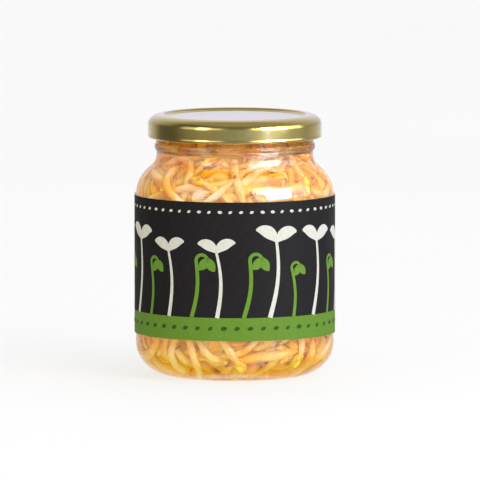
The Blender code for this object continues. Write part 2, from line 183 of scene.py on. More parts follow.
world = bpy.data.worlds.new("studio")
world.use_nodes = True
room = world.node_tree
room.nodes.clear()
direction = add(room, "ShaderNodeSeparateXYZ", {0: add(room, "ShaderNodeTexCoord").outputs["Generated"]})
towards_camera = maths(room, "MULTIPLY", direction.outputs["Y"], -1.0)
turn = maths(room, "ARCTAN2", direction.outputs["X"], towards_camera)
share_of_turn = maths(room, "MULTIPLY_ADD", turn, 1 / math.tau, 0.5)
above_horizon = maths(room, "GREATER_THAN", direction.outputs["Z"], 0.0)
below, above, ceiling, soft, bent = (
    ramp(room, share_of_turn, stops)
    for stops in (BELOW_THE_HORIZON, ROUND_THE_HORIZON, ROUND_THE_CEILING, SOFT_LIGHT, THROUGH_GLASS)
)
horizon = mixed(room, above_horizon, below, above)
surroundings = mixed(room, ramp(room, direction.outputs["Z"], CEILING_BLEND), horizon, ceiling)
surroundings = mixed(room, ramp(room, direction.outputs["Z"], ZENITH_BLEND), surroundings, ZENITH)
path = add(room, "ShaderNodeLightPath")
lighting = mixed(room, path.outputs["Is Glossy Ray"], soft, surroundings)
lighting = mixed(room, path.outputs["Is Transmission Ray"], lighting, bent)
seen = mixed(room, path.outputs["Is Camera Ray"], lighting, BACKDROP)
background = add(room, "ShaderNodeBackground", {"Color": seen})
add(room, "ShaderNodeOutputWorld", {"Surface": background.outputs[0]})
bpy.context.scene.world = world
bpy.context.scene.view_settings.view_transform = "Standard"
print("world nodes:", len(room.nodes))

# %% Softboxes
LAMP_DISTANCE = 1.0
LAMPS_FACE = Vector((0, 0, 0.085))


def softbox(name, azimuth, elevation, wide, high, brightness, mirrored=True):
    """A lamp that faces the jar, seen from it at these angles and this many degrees wide and high.
    The azimuth is from the camera, to the right if positive. It is either mirrored in the jar or lights
    its matt surfaces."""
    width, height = (2 * LAMP_DISTANCE * math.tan(math.radians(angle) / 2) for angle in (wide, high))
    lamp = bpy.data.lights.new(name, "AREA")
    lamp.shape = "RECTANGLE"
    lamp.size = width
    lamp.size_y = height
    lamp.energy = brightness * math.pi * width * height
    box = linked(name, lamp)
    box.visible_diffuse = not mirrored
    box.visible_glossy = mirrored
    across, up = math.radians(azimuth), math.radians(elevation)
    towards = Vector((math.sin(across) * math.cos(up), -math.cos(across) * math.cos(up), math.sin(up)))
    box.location = LAMPS_FACE + LAMP_DISTANCE * towards
    box.rotation_euler = (-towards).to_track_quat("-Z", "Y").to_euler()
    print(f"{name}: {lamp.energy:.1f} W")


softbox("softbox_right", azimuth=54, elevation=18, wide=32, high=28, brightness=12.0)
softbox("softbox_left", azimuth=-44, elevation=19, wide=15, high=30, brightness=3.0)
softbox("reflector_right", azimuth=62, elevation=20, wide=74, high=30, brightness=1.6)
softbox("reflector_left", azimuth=-46, elevation=21, wide=56, high=26, brightness=0.75)
softbox("key_light", azimuth=38, elevation=32, wide=26, high=26, brightness=5.0, mirrored=False)

# %% [markdown]
# ## One effect for many finishes
# Nothing real is one even colour. Glass ripples, lacquer is brushed by handling, paper has fibres and
# plant flesh is blotchy. All of these are the same thing at different sizes, so one node group makes
# them: noise of a given size in, a value between two limits and a height for a bump out.

# %% The mottle group
def group_inputs(tree, wanted):
    """Adds named inputs to a tree, and returns the group's input node."""
    for name, kind, value in wanted:
        socket = tree.interface.new_socket(name, in_out="INPUT", socket_type="NodeSocket" + kind)
        if value is not None:
            socket.default_value = value
    return add(tree, "NodeGroupInput")


def mottle_group():
    """Noise of a size in metres. It puts out a value from Low to High, and the bare noise as a height."""
    group = bpy.data.node_groups.new("mottle", "ShaderNodeTree")
    given = group_inputs(group, (
        ("Coordinates", "Vector", None), ("Size", "Float", 5 * MM),
        ("Low", "Float", 0.0), ("High", "Float", 1.0),
    ))
    for name in ("Value", "Height"):
        group.interface.new_socket(name, in_out="OUTPUT", socket_type="NodeSocketFloat")
    scale = maths(group, "DIVIDE", 1.0, given.outputs["Size"])
    noise = add(group, "ShaderNodeTexNoise", {"Vector": given.outputs[0], "Scale": scale, "Detail": 3.0})
    spread = add(group, "ShaderNodeMapRange", {
        "Value": noise.outputs[0], "From Min": 0.3, "From Max": 0.7,
        "To Min": given.outputs["Low"], "To Max": given.outputs["High"],
    })
    add(group, "NodeGroupOutput", {"Value": spread.outputs[0], "Height": noise.outputs[0]})
    return group


MOTTLE = mottle_group()


def mottle(tree, size, low=0.0, high=1.0, stretch=(1, 1, 1)):
    """The group placed in a material, on Object coordinates. stretch over 1 squeezes it along that axis."""
    place = add(tree, "ShaderNodeTexCoord").outputs["Object"]
    place = add(tree, "ShaderNodeMapping", {"Vector": place, "Scale": stretch}).outputs[0]
    values = {"Coordinates": place, "Size": size, "Low": low, "High": high}
    return add(tree, "ShaderNodeGroup", values, node_tree=MOTTLE)


def bump(tree, height, depth, strength=1.0):
    """A Bump node's normal, for a height that stands up to depth."""
    return add(tree, "ShaderNodeBump", {"Height": height, "Distance": depth, "Strength": strength}).outputs[0]


def feed(tree, shader, sources):
    """Links outputs to the shader's own sockets, by the names of the sockets."""
    for socket, source in sources.items():
        tree.links.new(source, shader.inputs[socket])


def finish(name, sockets):
    """A material, its tree and its Principled BSDF with these sockets set. A tuple is a colour."""
    made = bpy.data.materials.new(name)
    made.use_nodes = True
    tree = made.node_tree
    shader = tree.nodes["Principled BSDF"]
    for socket, value in sockets.items():
        shader.inputs[socket].default_value = (*value, 1) if isinstance(value, tuple) else value
    return made, tree, shader


def mottled_finish(name, sockets, grain, colours, rough=None, depth=None):
    """A material whose colour wanders between two. rough is a mottle's size and limits, depth a bump's."""
    made, tree, shader = finish(name, sockets)
    tone = mottle(tree, grain)
    feed(tree, shader, {"Base Color": mixed(tree, tone.outputs["Value"], *colours)})
    if rough:
        feed(tree, shader, {"Roughness": mottle(tree, *rough).outputs["Value"]})
    if depth:
        feed(tree, shader, {"Normal": bump(tree, tone.outputs["Height"], depth)})
    return made


print("group sockets:", [item.name for item in MOTTLE.interface.items_tree])

# %% [markdown]
# ## Glass and brine
# Both are clear, so all that shows of them is what they bend, mirror and tint. Pressed glass is never
# quite even, and very low, wide ripples make its reflections swim. The brine is coloured through its
# depth, not on its face: volume absorption makes the gaps between the sprouts more golden than what
# lies against the glass.

# %% The clear finishes
BRINE_DENSITY = 180.0
BRINE_COLOUR = (1.0, 0.92, 0.16)

GLASS, tree, shader = finish("clear_glass", {
    "Base Color": (0.985, 0.995, 0.985), "IOR": 1.52, "Transmission Weight": 1.0,
})
feed(tree, shader, {
    "Roughness": mottle(tree, 16 * MM, 0.0, 0.03).outputs["Value"],
    "Normal": bump(tree, mottle(tree, 24 * MM).outputs["Height"], 0.5 * MM, 0.3),
})

BRINE, tree, shader = finish("golden_brine", {
    "Base Color": (1.0, 0.97, 0.84), "IOR": 1.34, "Roughness": 0.0, "Transmission Weight": 1.0,
})
feed(tree, shader, {"Normal": bump(tree, mottle(tree, 9 * MM).outputs["Height"], 0.3 * MM, 0.2)})
depth = add(tree, "ShaderNodeVolumeAbsorption", {"Color": (*BRINE_COLOUR, 1), "Density": BRINE_DENSITY})
tree.links.new(depth.outputs[0], tree.nodes["Material Output"].inputs["Volume"])
print("clear finishes:", GLASS.name, BRINE.name)

# %% [markdown]
# ## Lacquered tinplate
# The lid's gold is a yellow lacquer over bright tin. The metal below gives broad, coloured reflections,
# and the lacquer's own face adds sharp, colourless ones, which is what a metallic base with a clear
# coat does. Handling leaves faint smears in the coat, and the rolled sheet has a slight orange peel.

# %% The lid's finish
GOLD, tree, shader = finish("gold_lacquer", {
    "Metallic": 1.0, "Coat Weight": 1.0, "Coat Roughness": 0.06, "Coat IOR": 1.5,
})
bands = mottle(tree, 22 * MM)
gold = mixed(tree, bands.outputs["Value"], (0.70, 0.545, 0.145), (0.75, 0.60, 0.185))
specks = mottle(tree, 0.7 * MM, -0.6, 1.0)
gold = mixed(tree, specks.outputs["Value"], gold, (0.66, 0.50, 0.125))
peel = mottle(tree, 1.4 * MM)
feed(tree, shader, {
    "Base Color": gold,
    "Roughness": mottle(tree, 6 * MM, 0.15, 0.22).outputs["Value"],
    "Normal": bump(tree, peel.outputs["Height"], 0.03 * MM, 0.15),
})
print("lid finish:", GOLD.name)

# %% The sealing compound's finish
COMPOUND = mottled_finish(
    "sealing_compound", {"Specular IOR Level": 0.35}, 3 * MM,
    ((0.78, 0.74, 0.64), (0.86, 0.83, 0.75)), (5 * MM, 0.45, 0.65), 0.08 * MM,
)
print("sealing finish:", COMPOUND.name)

# %% [markdown]
# ## The printed paper
# The label is one charcoal print with a green band along its foot, on coated paper. The band is a
# comparison with height, so its edge is as crisp as ink. Fibres show as a fine bump, and the ink is a
# little uneven. The cut edge of the paper is bare and pale, and has a finish of its own.

# %% The label's finishes
LABEL_BOTTOM, LABEL_TOP = (corner[2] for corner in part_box("label"))
BAND_HEIGHT = 9.1 * MM
CHARCOAL = (0.0135, 0.0120, 0.0125)
GREEN = (0.105, 0.215, 0.022)

PRINT, tree, shader = finish("label_print", {"Specular IOR Level": 0.06})
place = add(tree, "ShaderNodeTexCoord").outputs["Object"]
level = add(tree, "ShaderNodeSeparateXYZ", {0: place}).outputs["Z"]
in_band = maths(tree, "LESS_THAN", level, LABEL_BOTTOM + BAND_HEIGHT)
ink = mottle(tree, 1.6 * MM)
dark = mixed(tree, ink.outputs["Value"], CHARCOAL, (0.0165, 0.0150, 0.0155))
green = mixed(tree, ink.outputs["Value"], GREEN, (0.120, 0.235, 0.027))
fibres = mottle(tree, 0.5 * MM, stretch=(1, 1, 0.35))
feed(tree, shader, {
    "Base Color": mixed(tree, in_band, dark, green),
    "Roughness": mottle(tree, 9 * MM, 0.50, 0.62).outputs["Value"],
    "Normal": bump(tree, fibres.outputs["Height"], 0.02 * MM, 0.5),
})

PAPER_EDGE = mottled_finish(
    "paper_edge", {"Roughness": 0.85}, 0.3 * MM,
    ((0.62, 0.60, 0.54), (0.80, 0.78, 0.72)), depth=0.05 * MM,
)
print(f"label from {LABEL_BOTTOM / MM:.1f} to {LABEL_TOP / MM:.1f} mm")

# %% [markdown]
# ## Plant flesh
# A bean sprout is watery, so light goes into it and comes out again: that is subsurface scattering,
# with red going furthest. Its colour changes along it, from a yellow neck by the bean to a thin, tan
# root, and from one sprout to the next. Both come from attributes that the shapes carry, called along
# and tint. Light also soaks through the whole packed jar, further than a render follows it. A faint
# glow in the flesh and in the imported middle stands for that, so that the gaps between sprouts are
# golden and not black.

# %% The sprouts' finishes
def attribute(tree, name):
    """The value of an attribute that a shape carries."""
    return add(tree, "ShaderNodeAttribute", attribute_name=name).outputs["Fac"]


FLESH, tree, shader = finish("sprout_flesh", {
    "Subsurface Weight": 0.7, "Subsurface Radius": [1.0, 0.75, 0.40], "Subsurface Scale": 2.4 * MM,
    "IOR": 1.38, "Emission Color": (1.0, 0.70, 0.22), "Emission Strength": 0.05,
})
each = mixed(tree, attribute(tree, "tint"), (0.98, 0.79, 0.38), (1.0, 0.95, 0.74))
streaks = mottle(tree, 2.2 * MM, -0.3, 0.7)
each = mixed(tree, streaks.outputs["Value"], each, (0.98, 0.77, 0.40))
steeped = mottle(tree, 10 * MM, -1.2, 1.7)
each = mixed(tree, steeped.outputs["Value"], each, (1.0, 0.64, 0.06))
along = attribute(tree, "along")
from_bean = ramp(tree, along, ((0.10, 0.9), (0.22, 0.0), (0.88, 0.0), (0.97, 0.9)))
ends = ramp(tree, along, ((0.30, (0.95, 0.72, 0.10)), (0.86, (0.80, 0.48, 0.12)), (0.96, (0.30, 0.13, 0.03))))
feed(tree, shader, {
    "Base Color": mixed(tree, from_bean, each, ends),
    "Roughness": mottle(tree, 3 * MM, 0.25, 0.5).outputs["Value"],
    "Normal": bump(tree, streaks.outputs["Height"], 0.25 * MM, 0.6),
})

BEAN, tree, shader = finish("bean_halves", {
    "Subsurface Weight": 0.25, "Subsurface Radius": [1.0, 0.5, 0.1], "Subsurface Scale": 1.2 * MM,
    "IOR": 1.4,
})
halves = mixed(tree, attribute(tree, "tint"), (0.98, 0.66, 0.01), (1.0, 0.82, 0.07))
blotches = mottle(tree, 2.6 * MM, -1.2, 0.9)
halves = mixed(tree, blotches.outputs["Value"], halves, (0.48, 0.20, 0.02))
feed(tree, shader, {
    "Base Color": halves,
    "Roughness": mottle(tree, 2 * MM, 0.25, 0.45).outputs["Value"],
    "Normal": bump(tree, blotches.outputs["Height"], 0.2 * MM, 0.6),
})

CORE = mottled_finish("packed_middle", {
    "Subsurface Weight": 0.5, "Subsurface Scale": 4 * MM,
    "Emission Color": (1.0, 0.56, 0.09), "Emission Strength": 0.30,
}, 5 * MM, ((0.96, 0.52, 0.07), (1.0, 0.74, 0.26)), (4 * MM, 0.4, 0.7), 2.5 * MM)
print("flesh finishes:", FLESH.name, BEAN.name, CORE.name)

# %% [markdown]
# ## Turned shapes
# Jar, lid, brine and the mass of sprouts are all an outline turned about the jar's axis. Writing that
# as a grid of points, one row for each step round, leaves room for a formula that moves points before
# the faces are made. It raises the glass ramps and bends in the lid's lugs with no cutting or joining.

# %% Helpers for turned shapes
def arc(centre, radii, start, end, count):
    """Points (radius, height) along an arc. radii may differ across and up, and the angles are in degrees."""
    across, up = radii if isinstance(radii, tuple) else (radii, radii)
    points = []
    for step in range(count):
        angle = math.radians(start + (end - start) * step / (count - 1))
        points.append((centre[0] + across * math.cos(angle), centre[1] + up * math.sin(angle)))
    return points


def rounded(corners, smooth=6):
    """An outline from (radius, height, rounding) corners. A corner with a rounding becomes a short curve."""
    points = []
    for number, (radius, height, rounding) in enumerate(corners):
        here = np.array((radius, height))
        if not rounding:
            points.append(tuple(here))
            continue
        before, after = (np.array(corners[near][:2]) - here for near in (number - 1, number + 1))
        reach = [min(rounding, 0.48 * np.linalg.norm(side)) for side in (before, after)]
        first = here + before / np.linalg.norm(before) * reach[0]
        last = here + after / np.linalg.norm(after) * reach[1]
        for step in range(smooth):
            share = step / (smooth - 1)
            curve = (1 - share) ** 2 * first + 2 * share * (1 - share) * here + share**2 * last
            points.append(tuple(curve))
    return points


def plain(points):
    """Outline points as corners with no rounding."""
    return [(radius, height, 0) for radius, height in points]


def turned(name, outline, steps, finish_of, shape=None):
    """Turns an outline about Z. One that starts and ends on the axis is closed by it, any other by itself."""
    outline = np.array(outline)
    open_ended = outline[0, 0] == 0 and outline[-1, 0] == 0
    turn = np.repeat(np.arange(steps) * math.tau / steps, len(outline))
    radius = np.tile(outline[:, 0], steps)
    height = np.tile(outline[:, 1], steps)
    if shape:
        radius, height = shape(radius, turn, height)
    points = np.column_stack([radius * np.cos(turn), radius * np.sin(turn), height])
    count = len(outline)
    faces = []
    for step in range(steps):
        here, beyond = step * count, (step + 1) % steps * count
        for point in range(count - 1 if open_ended else count):
            after = (point + 1) % count
            faces.append((here + point, beyond + point, beyond + after, here + after))
    mesh = bpy.data.meshes.new(name)
    mesh.from_pydata(points.tolist(), [], faces)
    bm = bmesh.new()
    bm.from_mesh(mesh)
    bmesh.ops.remove_doubles(bm, verts=bm.verts, dist=1e-6)
    bmesh.ops.recalc_face_normals(bm, faces=bm.faces)
    bm.to_mesh(mesh)
    bm.free()
    mesh.shade_smooth()
    mesh.materials.append(finish_of)
    print(f"{name}: {len(outline)} points in the outline, {len(mesh.polygons)} faces")
    return linked(name, mesh)


def band(turn, middle, half_width, edge):
    """1 round the jar within half_width of middle, falling to 0 over edge. All are angles."""
    away = np.abs((turn - middle + math.pi) % math.tau - math.pi)
    return np.clip((half_width + edge - away) / edge, 0, 1)


print("a quarter circle of 10 mm:", [(round(x, 1), round(z, 1)) for x, z in arc((0, 0), 10, 0, 90, 4)])

# %% [markdown]
# ## The jar's measures
# These are the driving sizes of the solids, read from their boxes where a box gives them. The side of
# the jar is written once, as a function of how far in it lies, because the glass, the brine and the
# sprouts all follow it.

# %% The jar's side
BODY_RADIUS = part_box("glass_jar")[1][0]
RIM_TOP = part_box("glass_jar")[1][2]
WALL = 2.2 * MM
HEEL_WIDTH = 14.6 * MM
HEEL_HEIGHT = 13.4 * MM
FOOT_WIDTH = 2.4 * MM
PUSH_UP = 2.2 * MM
BASE_THICKNESS = 4.4 * MM
FLOOR_RISE = 1.3 * MM
SHOULDER_START = 71.5 * MM
SHOULDER_RADIUS = 14.0 * MM
SHOULDER_SLOPE = math.radians(50)
NECK_RADIUS = 30.95 * MM
NECK_FILLET = 6.0 * MM
OUTSIDE_POINTS = (28, 18, 10)
INSIDE_POINTS = (26, 16, 8)


def side(inset, floor, heel_points, shoulder_points, neck_points):
    """The jar's side from the foot up to the neck, moved inwards by inset. The heel starts at floor."""
    slope = math.degrees(SHOULDER_SLOPE)
    heel = arc(
        (BODY_RADIUS - HEEL_WIDTH, HEEL_HEIGHT),
        (HEEL_WIDTH - inset, HEEL_HEIGHT - floor),
        -90, 0, heel_points,
    )
    upper = SHOULDER_RADIUS - inset
    shoulder = arc((BODY_RADIUS - SHOULDER_RADIUS, SHOULDER_START), upper, 0, slope, shoulder_points)
    level = 1 - math.cos(SHOULDER_SLOPE)
    fall = BODY_RADIUS - NECK_RADIUS - (SHOULDER_RADIUS + NECK_FILLET) * level
    height = SHOULDER_START + (SHOULDER_RADIUS + NECK_FILLET) * math.sin(SHOULDER_SLOPE)
    height += fall / math.tan(SHOULDER_SLOPE)
    neck = arc((NECK_RADIUS + NECK_FILLET, height), NECK_FILLET + inset, 180 + slope, 180, neck_points)
    return heel + shoulder + neck


print(f"jar {2 * BODY_RADIUS / MM:.1f} mm across, rim at {RIM_TOP / MM:.1f} mm")

# %% [markdown]
# ## The glass
# A pressed jar is one skin all over: foot ring, side, shoulder, collar, the finish that the lid grips,
# the rim, and back down inside. Its edges are fire-polished, so every corner gets a small rounding. The
# four ramps on the finish are a formula: where the angle and the height fall on a ramp, the radius
# grows.

# %% The glass jar
COLLAR_RADIUS = 31.75 * MM
COLLAR_BOTTOM = 89.9 * MM
COLLAR_HEIGHT = 2.2 * MM
COLLAR_SLOPE = 0.9 * MM
COLLAR_BEVEL = 0.5 * MM
FINISH_RADIUS = 31.2 * MM
FINISH_HEIGHT = 8.0 * MM
FINISH_ROWS = 32
RAMPS = 4
RAMP_RADIUS = 32.9 * MM
RAMP_HEIGHT = 1.5 * MM
RAMP_LOW_END = 96.35 * MM
RAMP_RISE = 1.6 * MM
RAMP_BACK = math.radians(14)
RAMP_SPAN = math.radians(64)
RAMP_END = 0.05
RAMP_FLANK = 0.5
HAIR = 0.05 * MM
FIRST_LUG = math.radians(-90 + 42)
ROUND_STEPS = 240


def raise_ramps(radius, turn, height):
    """Swells the finish outwards into the ramps that the lid's lugs slide under."""
    for number in range(RAMPS):
        start = FIRST_LUG + number * math.tau / RAMPS - RAMP_BACK
        share = ((turn - start) % math.tau) / RAMP_SPAN
        low = RAMP_LOW_END + RAMP_RISE * share
        away = np.abs(height - low - RAMP_HEIGHT / 2) / (RAMP_HEIGHT / 2)
        upright = np.clip((1 + RAMP_FLANK / 2 - away) / RAMP_FLANK, 0, 1)
        along = np.clip(np.minimum(share, 1 - share) / RAMP_END, 0, 1)
        outside = radius > FINISH_RADIUS - HAIR
        radius = np.where(outside, radius + (RAMP_RADIUS - FINISH_RADIUS) * upright * along, radius)
    return radius, height


foot_inner = BODY_RADIUS - HEEL_WIDTH - FOOT_WIDTH
collar_top = COLLAR_BOTTOM + COLLAR_HEIGHT
bore = NECK_RADIUS - WALL
outline = [(0, PUSH_UP, 0)] + plain(arc((0, 0), (foot_inner, PUSH_UP), 90, 6, 16)[1:])
outline += plain(side(0, 0, *OUTSIDE_POINTS))
outline += [
    (NECK_RADIUS, COLLAR_BOTTOM - COLLAR_SLOPE, 0.6 * MM),
    (COLLAR_RADIUS, COLLAR_BOTTOM, COLLAR_BEVEL),
    (COLLAR_RADIUS, collar_top - COLLAR_BEVEL, COLLAR_BEVEL),
    (FINISH_RADIUS, collar_top, 0.3 * MM),
]
for row in range(2, FINISH_ROWS + 1):
    outline.append((FINISH_RADIUS, collar_top + FINISH_HEIGHT * row / FINISH_ROWS, 0))
outline += [(FINISH_RADIUS, RIM_TOP, 1.0 * MM), (bore, RIM_TOP, 0.7 * MM)]
outline += plain(side(WALL, BASE_THICKNESS, *INSIDE_POINTS)[::-1])
outline += [(0, BASE_THICKNESS + FLOOR_RISE, 0)]
glass_jar = turned("glass", rounded(outline), ROUND_STEPS, GLASS, raise_ramps)

# %% [markdown]
# ## The lid
# Tinplate is pressed, so the inside follows the outside at one thickness. From the middle out there is
# a sunk panel, a raised ring that another jar can stand in, a rounded shoulder, a skirt with a slight
# waist, and a curl that hides the cut edge. At four places the curl is pinched inwards into a lug,
# again by a formula.

# %% The lid
LID_RADIUS = 34.4 * MM
TOTAL_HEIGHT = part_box("lid")[1][2]
LID_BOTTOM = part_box("lid")[0][2]
SHEET = 0.5 * MM
LID_SHOULDER_WIDTH = 5.0 * MM
LID_SHOULDER_HEIGHT = 4.0 * MM
CREST_WIDTH = 1.0 * MM
PANEL_WALL = 0.7 * MM
PANEL_DROP = 0.9 * MM
SKIRT_WAIST = 34.35 * MM
WAIST_HEIGHT = 2.1 * MM
CURL_RADIUS = 0.8 * MM
CURL_PROUD = 0.05 * MM
CURL_FROM, CURL_TO = 32, -235
LUG_INNER = 31.65 * MM
LUG_HALF = math.radians(9)
LUG_EDGE = math.radians(2.5)

curl_centre = (LID_RADIUS + CURL_PROUD - CURL_RADIUS, LID_BOTTOM + CURL_RADIUS)


def pinch_lugs(radius, turn, height):
    """Pulls the inner side of the curl in to the lugs' reach at four places."""
    low = height < curl_centre[1] + CURL_RADIUS
    inward = np.clip((curl_centre[0] - radius) / CURL_RADIUS, 0, 1) * low
    reach = curl_centre[0] - CURL_RADIUS - LUG_INNER
    for number in range(RAMPS):
        at_lug = band(turn, FIRST_LUG + number * math.tau / RAMPS, LUG_HALF, LUG_EDGE)
        radius = radius - reach * inward * at_lug
    return radius, height


shoulder = (LID_RADIUS - LID_SHOULDER_WIDTH, TOTAL_HEIGHT - LID_SHOULDER_HEIGHT)
panel = TOTAL_HEIGHT - PANEL_DROP
crest_inner = shoulder[0] - CREST_WIDTH
panel_radius = crest_inner - PANEL_WALL
waist = LID_BOTTOM + WAIST_HEIGHT
outline = [(0, panel, 0), (panel_radius, panel, 0.5 * MM), (crest_inner, TOTAL_HEIGHT, 0.4 * MM)]
outline += plain(arc(shoulder, (LID_SHOULDER_WIDTH, LID_SHOULDER_HEIGHT), 90, 0, 24))
outline += [(SKIRT_WAIST, waist, 1.2 * MM)]
outline += plain(arc(curl_centre, CURL_RADIUS, CURL_FROM, CURL_TO, 20))
outline += [(SKIRT_WAIST - SHEET, waist, 0.8 * MM)]
inner_shoulder = (LID_SHOULDER_WIDTH - SHEET, LID_SHOULDER_HEIGHT - SHEET)
outline += plain(arc(shoulder, inner_shoulder, 0, 90, 12))
outline += [
    (crest_inner + SHEET / 2, TOTAL_HEIGHT - SHEET, 0.3 * MM),
    (panel_radius + SHEET / 2, panel - SHEET, 0.5 * MM),
    (0, panel - SHEET, 0),
]
lid = turned("lid_shell", rounded(outline), ROUND_STEPS, GOLD, pinch_lugs)

# %% [markdown]
# ## The brine
# The real liquid touches the glass, with no air between. Two clear skins that meet exactly flicker, and
# a gap of air would mirror like a bubble. So the brine reaches a hair into the glass: light then turns
# by the right amount on its way from one to the other. At the neck it climbs the glass a little, as
# water does.

# %% The brine
OVERLAP = 0.05 * MM
BRINE_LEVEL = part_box("brine")[1][2]
MENISCUS = 1.0 * MM
MENISCUS_WIDTH = 3 * MM

wet = WALL - OVERLAP
outline = [(0, BASE_THICKNESS + FLOOR_RISE - OVERLAP)]
outline += side(wet, BASE_THICKNESS - OVERLAP, *INSIDE_POINTS)
outline += [(NECK_RADIUS - wet, BRINE_LEVEL + MENISCUS)]
for share in (0.15, 0.35, 0.6, 1):
    outline.append((NECK_RADIUS - wet - MENISCUS_WIDTH * share, BRINE_LEVEL + MENISCUS * (1 - share) ** 3))
outline += [(0, BRINE_LEVEL)]
brine = turned("liquid", outline, ROUND_STEPS, BRINE)

# %% [markdown]
# ## The label
# A wrapped label is one strip, longer than the way round, so its end climbs over its start. The strip
# is a row of cross-sections round the jar. Near the end they step outwards by one thickness of paper.
# Faces at the cut edges take the bare paper's finish.

# %% The label
GAP = 0.3 * MM
LABEL_INNER = BODY_RADIUS + GAP
PAPER = 0.22 * MM
LAP = math.radians(11)
LAP_RAMP = math.radians(4)
LAP_GAP = 0.05 * MM
SEAM_AT = math.radians(90 - 35)
UPRIGHT = 0.9
OUTWARD = 0.5


def wrapped_label(steps=360):
    """The strip round the jar, as a closed mesh."""
    sections = []
    for step in range(steps + 1):
        angle = (math.tau + LAP) * step / steps
        climbed = min(max((angle - (math.tau - LAP_RAMP)) / LAP_RAMP, 0), 1)
        inner = LABEL_INNER + climbed * (PAPER + LAP_GAP)
        outer = inner + PAPER
        across = np.array((math.cos(SEAM_AT + angle), math.sin(SEAM_AT + angle), 0))
        corners = ((inner, LABEL_BOTTOM), (outer, LABEL_BOTTOM), (outer, LABEL_TOP), (inner, LABEL_TOP))
        sections += [tuple(across * radius + np.array((0, 0, height))) for radius, height in corners]
    faces = []
    for step in range(steps):
        for corner in range(4):
            after = (corner + 1) % 4
            here, beyond = 4 * step, 4 * step + 4
            faces.append((here + corner, here + after, beyond + after, beyond + corner))
    faces += [(3, 2, 1, 0), tuple(range(4 * steps, 4 * steps + 4))]
    mesh = bpy.data.meshes.new("paper_label")
    mesh.from_pydata(sections, [], faces)
    bm = bmesh.new()
    bm.from_mesh(mesh)
    bmesh.ops.recalc_face_normals(bm, faces=bm.faces)
    for face in bm.faces:
        flat = math.hypot(face.normal.x, face.normal.y)
        outward = face.normal.dot(face.calc_center_median()) / BODY_RADIUS
        face.material_index = 0 if flat > UPRIGHT and outward > OUTWARD else 1
    bm.to_mesh(mesh)
    bm.free()
    mesh.shade_smooth()
    mesh.set_sharp_from_angle(angle=math.radians(35))
    mesh.materials.append(PRINT)
    mesh.materials.append(PAPER_EDGE)
    return linked("paper_label", mesh)


paper_label = wrapped_label()
print("paper_label:", len(paper_label.data.polygons), "faces")

# %% [markdown]
# ## The label's printed frieze
# The print is a row of seedlings that grow out of the green band, with a row of small seeds above them
# and another in the band. Each motif is drawn once, flat, as a thin plate. Geometry Nodes set copies
# along a line as long as the label, vary their size, and then wrap the whole line round the jar: the
# distance along the line becomes an angle.

# %% The inks
def ink_finish(name, light, dark):
    """A printed ink, a little uneven where the press laid it thinner."""
    flat = {"Specular IOR Level": 0.10}
    return mottled_finish(name, flat, 1.2 * MM, (light, dark), (6 * MM, 0.50, 0.62), 0.01 * MM)


CREAM_INK = ink_finish("cream_ink", (0.62, 0.61, 0.53), (0.54, 0.53, 0.45))
LEAF_INK = ink_finish("leaf_green_ink", (0.125, 0.260, 0.028), (0.105, 0.225, 0.022))
SEED_INK = ink_finish("seed_green_ink", (0.035, 0.085, 0.012), (0.026, 0.066, 0.010))
print("inks:", ", ".join(made.name for made in (CREAM_INK, LEAF_INK, SEED_INK)))

# %% Flat motifs
INK = 0.05 * MM
LEAF_TIP = 0.02
LEAF_ROUNDNESS = 0.7


def ribbon(bm, points, widths):
    """A flat strip along points, in the plane of the line and the height."""
    rows = []
    for number, point in enumerate(points):
        before, after = points[max(number - 1, 0)], points[min(number + 1, len(points) - 1)]
        along = Vector(after) - Vector(before)
        across = Vector((along.y, -along.x)).normalized() * widths[number] / 2
        row = [(point[0] + way * across.x, 0, point[1] + way * across.y) for way in (-1, 0, 1)]
        rows.append([bm.verts.new(place) for place in row])
    for near, far in zip(rows, rows[1:]):
        for column in range(2):
            bm.faces.new((near[column], near[column + 1], far[column + 1], far[column]))


def leaf(bm, root, angle, length, width, curl=0.0, count=11):
    """A leaf or a bean half from its root, at an angle to the line, that curls by an angle on its way."""
    shares = [step / (count - 1) for step in range(count)]
    points = [root]
    for share in shares[1:]:
        heading = angle + curl * share
        stride = length / (count - 1)
        x, z = points[-1]
        points.append((x + stride * math.cos(heading), z + stride * math.sin(heading)))
    inner = [min(max(share, LEAF_TIP), 1 - LEAF_TIP) for share in shares]
    ribbon(bm, points, [width * math.sin(math.pi * share) ** LEAF_ROUNDNESS for share in inner])


def motif(name, draw_shapes):
    """A flat drawing as a thin closed plate."""
    bm = bmesh.new()
    draw_shapes(bm)
    bmesh.ops.recalc_face_normals(bm, faces=bm.faces)
    for face in bm.faces:
        if face.normal.y > 0:
            face.normal_flip()
    bmesh.ops.solidify(bm, geom=bm.faces[:], thickness=INK)
    mesh = bpy.data.meshes.new(name)
    bm.to_mesh(mesh)
    bm.free()
    return linked(name, mesh)


def open_seedling(bm):
    """A curved stem with two broad seed leaves that arch outwards."""
    height = 23 * MM
    shares = [step / 12 for step in range(13)]
    stem = [(1.8 * MM * math.sin(2.8 * share), height * share) for share in shares]
    ribbon(bm, stem, [(1.5 - 0.6 * share) * MM for share in shares])
    for way in (1, -1):
        curl = -way * math.radians(75)
        leaf(bm, stem[-1], math.radians(90 - way * 22), length=8.2 * MM, width=3.8 * MM, curl=curl)


